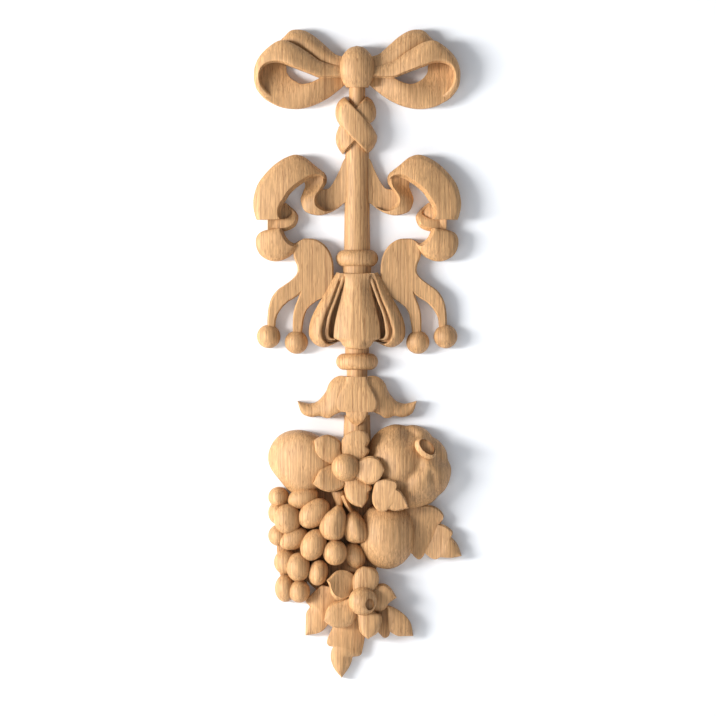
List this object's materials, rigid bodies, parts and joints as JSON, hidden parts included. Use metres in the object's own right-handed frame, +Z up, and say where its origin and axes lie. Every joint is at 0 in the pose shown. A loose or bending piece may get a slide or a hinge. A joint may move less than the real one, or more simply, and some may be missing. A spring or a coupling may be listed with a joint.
{
  "type": "carved wood insert",
  "caption": "Carved oak drop with a bow, ribbon tails round a half-round pole, a fluted bell, a winged calyx and a cluster of fruit and leaves on a flat back.",
  "frame": {"origin": "on the flat back, on the middle line, level with the upper face of the lower bead", "axes": "+Z up the drop towards the bow, +Y out of the flat back into the surface it is fixed to, +X to the viewer's right"},
  "size_m": [0.1605, 0.036, 0.499],
  "materials": {
    "oak": "sanded smooth, unvarnished light oak"
  },
  "bodies": {
    "root": {"carving": "oak"}
  },
  "joints": []
}
